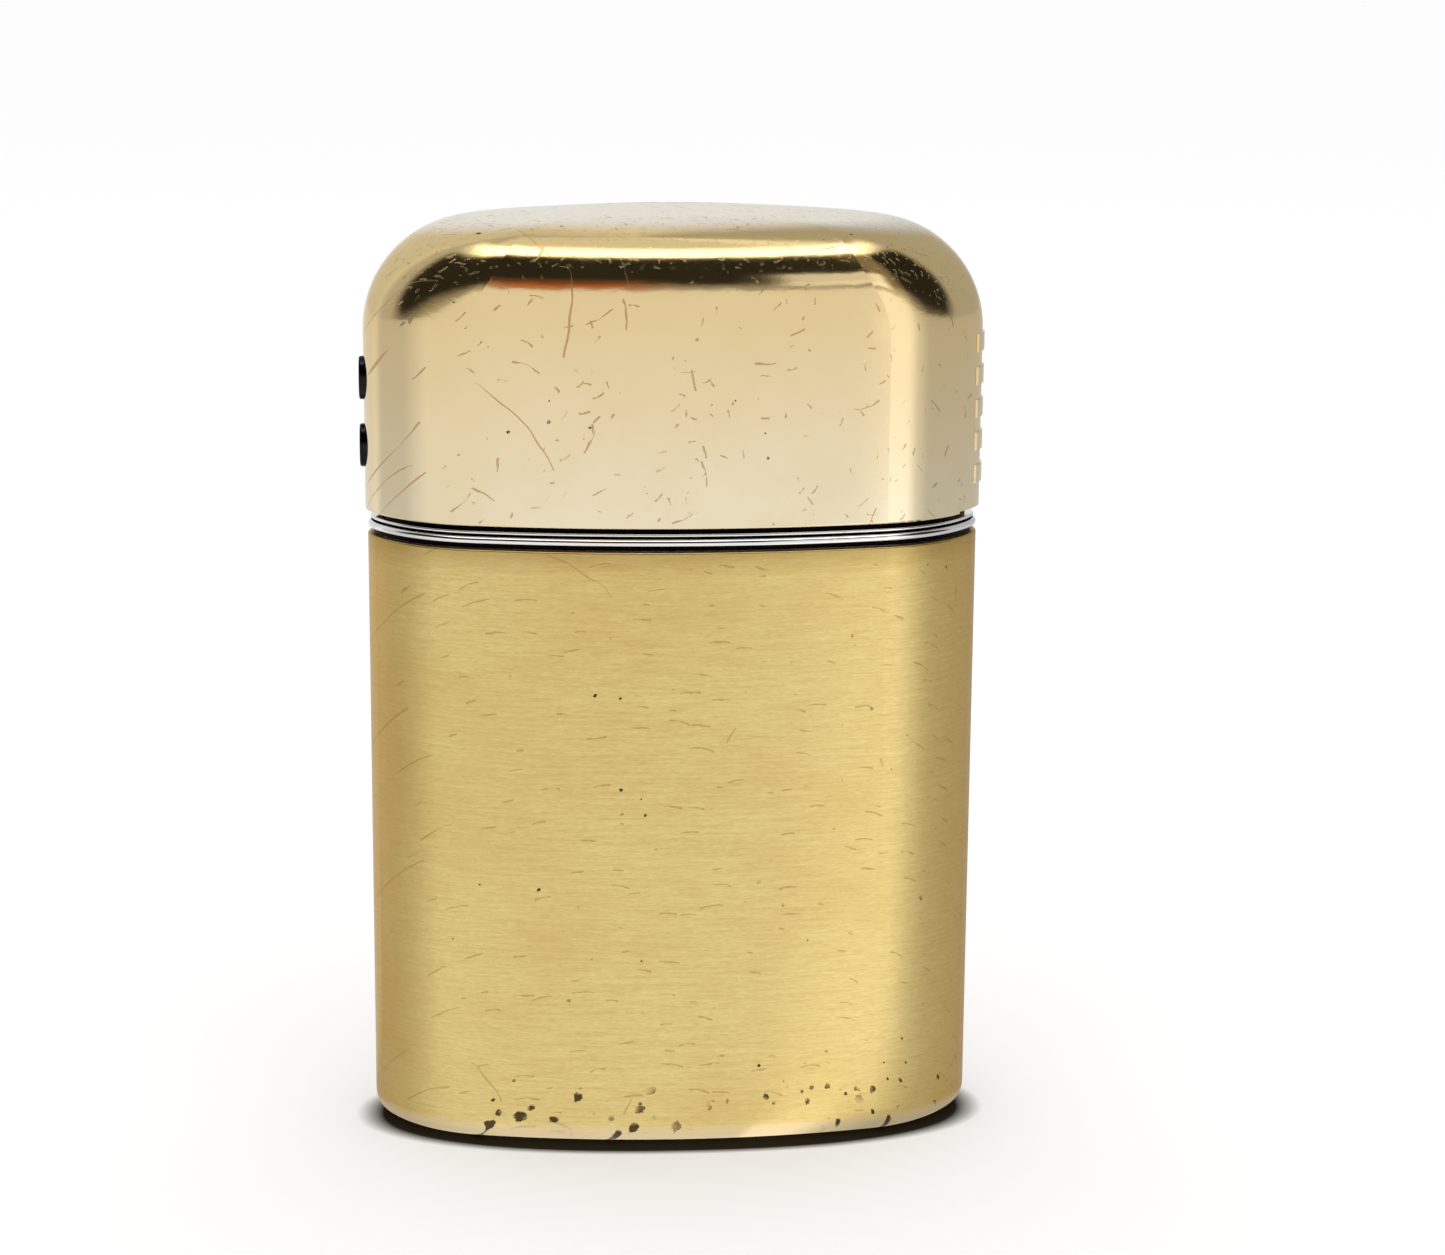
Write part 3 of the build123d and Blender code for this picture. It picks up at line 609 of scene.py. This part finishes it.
def fitted(piece, node):
    """Hands a finished piece the place, body and material slot of the CAD node it stands for."""
    slot = next(p["material_slot"] for p in frame["record"]["subparts"] if p["node"] == node)
    only(piece)
    bpy.ops.object.transform_apply(location=True, rotation=True, scale=True)
    bpy.ops.object.shade_smooth()
    piece.data.materials.clear()
    piece.data.materials.append(FINISHES[slot])
    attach(piece, "inner_unit")
    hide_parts(node)


def merged_copy(node, name):
    """A new piece in the shape of a CAD node, its loose triangles joined."""
    piece = bpy.data.objects.new(name, NODES[node].data.copy())
    bpy.context.scene.collection.objects.link(piece)
    only(piece)
    bpy.ops.object.mode_set(mode="EDIT")
    bpy.ops.mesh.select_all(action="SELECT")
    bpy.ops.mesh.remove_doubles(threshold=MERGE_DISTANCE)
    bpy.ops.object.mode_set(mode="OBJECT")
    return piece


def stuffing(node, name, lumps, fluff):
    """A soft body in a CAD solid's space: one skin sunk into lumps and fibres.

    Each pattern is its size and its depth in mm.
    """
    piece = merged_copy(node, name)
    shaped(piece, "REMESH", mode="VOXEL", voxel_size=SKIN_CELL * MM)
    shaped(piece, "SMOOTH", factor=0.5, iterations=6)
    shaped(piece, "DISPLACE", strength=-0.1 * MM, mid_level=0.0)
    for size, depth in (lumps, fluff):
        pattern = clouds(f"{name}_{size}", size)
        shaped(piece, "DISPLACE", texture=pattern, strength=depth * MM, mid_level=1.0)
    fitted(piece, node)


def braided_wick():
    """Sixteen cotton strands, eight each way, woven over and under round a core."""
    low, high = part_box("wick")
    radius = (high[0] - low[0]) / 2
    centre = ((low[0] + high[0]) / 2, (low[1] + high[1]) / 2)
    length = high[2] - low[2]
    strands, pitch = 8, 7 * MM
    strand_radius, weave = 0.17 * MM, 0.08 * MM
    twist = 2 * pi / pitch
    pieces = []
    for way in (1, -1):
        for index in range(strands):
            bpy.ops.mesh.primitive_circle_add(
                vertices=8,
                radius=strand_radius,
                location=(radius - strand_radius - weave, 0, 0),
                rotation=(pi / 2, 0, 0),
            )
            strand = bpy.context.active_object
            only(strand)
            bpy.ops.object.transform_apply(location=True, rotation=True, scale=True)
            shaped(
                strand,
                "SCREW",
                axis="Z",
                angle=way * twist * length,
                screw_offset=length,
                steps=int(length / (0.16 * MM)),
                use_merge_vertices=False,
            )
            bpy.ops.object.mode_set(mode="EDIT")
            bpy.ops.mesh.select_all(action="SELECT")
            bpy.ops.mesh.fill_holes(sides=0)
            bpy.ops.mesh.normals_make_consistent(inside=False)
            bpy.ops.object.mode_set(mode="OBJECT")
            for point in strand.data.vertices:
                wave = weave * way * cos(strands * twist * point.co.z)
                out = Vector((point.co.x, point.co.y)).length
                point.co.x *= (out + wave) / out
                point.co.y *= (out + wave) / out
            strand.rotation_euler.z = 2 * pi * index / strands
            pieces.append(strand)
    bpy.ops.mesh.primitive_cylinder_add(
        vertices=32, radius=radius - 2 * strand_radius, depth=length, location=(0, 0, length / 2)
    )
    core = bpy.context.active_object
    only(core)
    bpy.ops.object.transform_apply(location=True, rotation=True, scale=True)
    shaped(core, "BEVEL", width=0.3 * MM, segments=3, limit_method="ANGLE")
    bpy.ops.object.select_all(action="DESELECT")
    for piece in (*pieces, core):
        piece.select_set(True)
    bpy.context.view_layer.objects.active = core
    bpy.ops.object.join()
    core.name = core.data.name = "braided_wick"
    core.location = (*centre, low[2])
    fitted(core, "wick")


def coil_spring():
    """The flint spring's own piece, with a mesh of its own; the real spring shortens onto its screw
    as the flint goes down.
    """
    piece = merged_copy("flint_spring", "coil_spring")
    fitted(piece, "flint_spring")
    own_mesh(piece)


# ---------------------------------------------------------------- finishes
FINISHES = {
    "brushed_brass": brushed_brass(),
    "polished_brass": polished_brass(),
    "plated_steel": bright_chrome("bright_chrome"),
    "soft_steel": plain_steel("rolled_steel", "#a8a8a6", "#7d7c7a", 0.25, 0.42),
    "dark_steel": plain_steel("blued_steel", "#2a2a2e", "#141416", 0.12, 0.25),
    "tube_brass": turned_brass(),
    "wheel_steel": plain_steel("file_steel", "#6c6a68", "#3a3938", 0.35, 0.6),
    "flint_metal": sintered_flint(),
    "wick_cotton": fibres("wick_cotton", "#ece5d3", "#a79c84", 0.12, 0.12, charred=True),
    "packing_cotton": fibres("packing_cotton", "#f6f4ee", "#d9d5cb", 0.2, 0.2),
    "felt": fibres("wool_felt", "#ddd8ca", "#a8a294", 0.15, 0.1),
}

# Heights on the plated pieces darkened with painted shade: the collar's grooves and the tank's wall
# in the gap under the lid.
COLLAR_GROOVES = (
    (collar[0][2], collar[0][2] + 0.33 * MM),
    (collar[1][2] - 0.33 * MM, collar[1][2] - 0.19 * MM),
)
RIM_SHADE = ((collar[1][2] - 0.2 * MM, seam_z + 0.15 * MM),)

for part in frame["record"]["subparts"]:
    slots = NODES[part["node"]].data.materials
    slots.clear()
    slots.append(FINISHES[part["material_slot"]])

NODES["collar_ring"].data.materials[0] = bright_chrome("collar_chrome", COLLAR_GROOVES)
NODES["tank_shell"].data.materials[0] = bright_chrome("tank_chrome", RIM_SHADE)

braided_wick()
coil_spring()
stuffing("felt_pad", "felt_base", (1.2, 0.08), (0.3, 0.06))
for number in range(1, 5):
    stuffing(f"packing_{number}", f"cotton_layer_{number}", (2.4, 0.5), (0.5, 0.15))

studio_floor()
studio_world()
camera()
lamp("overhead", (0.0, -0.05, 0.5), 0.35, 0.3)

bpy.context.scene.view_settings.view_transform = "Standard"
